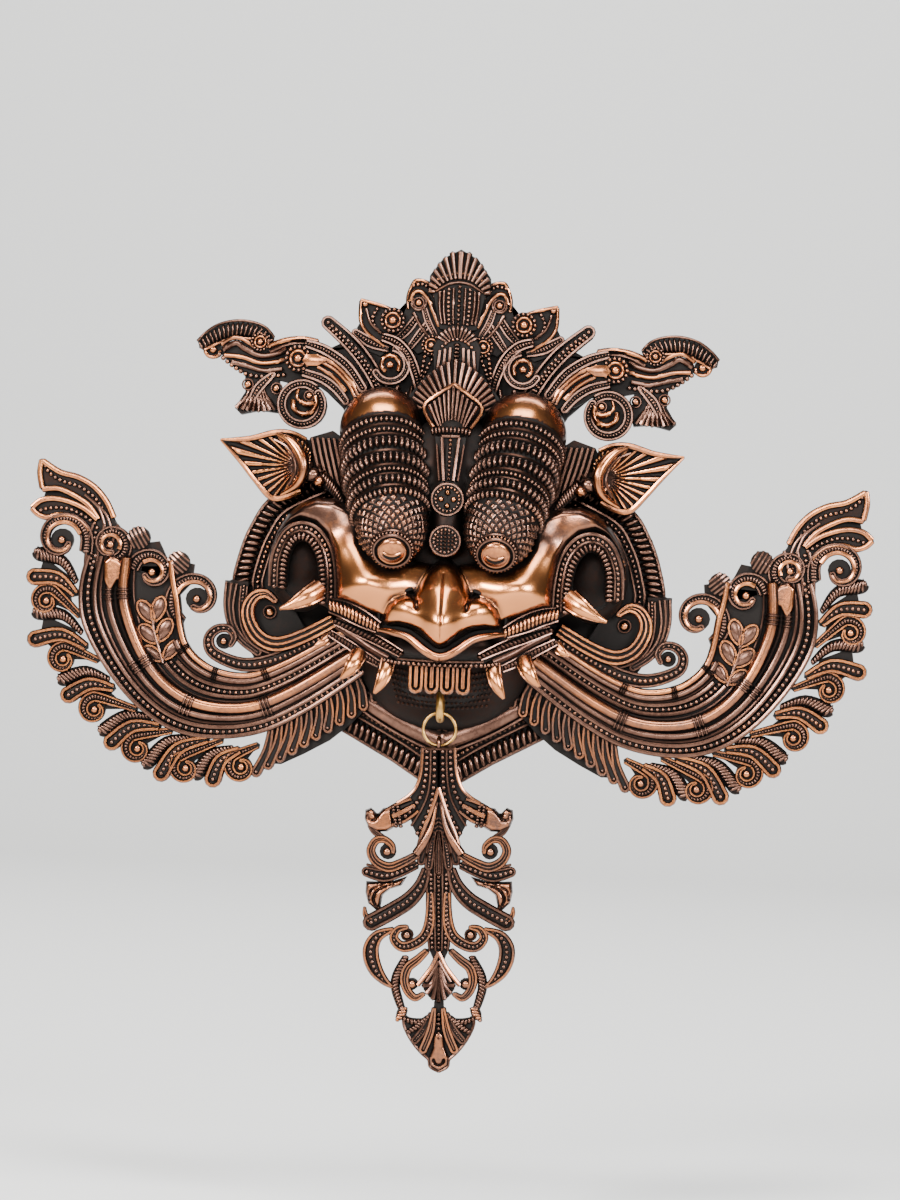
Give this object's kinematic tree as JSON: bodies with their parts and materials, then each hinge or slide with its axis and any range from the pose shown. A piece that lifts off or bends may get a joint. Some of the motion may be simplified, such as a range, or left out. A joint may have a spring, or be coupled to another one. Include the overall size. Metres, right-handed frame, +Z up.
{
  "type": "kirtimukha wall mask",
  "caption": "Cast wall mask of a horned-eye monster face with a leaf crown, curved openwork leaf wings and a drop ornament hung from a hook and ring below its teeth.",
  "frame": {"origin": "on the flat back of the mask, which lies against the wall, level with the cheeks and in the middle of the head", "axes": "+Z up the wall, -Y out of the wall towards the viewer, +X to the viewer's right"},
  "size_m": [0.4666, 0.0958, 0.4486],
  "materials": {
    "mask_copper": "antique copper patina, dark in the recesses, rubbed bright on the high parts",
    "left_wing_copper": "antique copper patina, dark in the recesses, rubbed bright on the high parts",
    "right_wing_copper": "antique copper patina, dark in the recesses, rubbed bright on the high parts",
    "hook_brass": "plain drawn brass wire, lightly tarnished",
    "ring_brass": "plain drawn brass wire, lightly tarnished",
    "pendant_copper": "antique copper patina, dark in the recesses, rubbed bright on the high parts"
  },
  "bodies": {
    "root": {"mask": "mask_copper", "left_wing": "left_wing_copper", "right_wing": "right_wing_copper", "eye_hook": "hook_brass", "ring": "ring_brass", "pendant": "pendant_copper"}
  },
  "joints": []
}
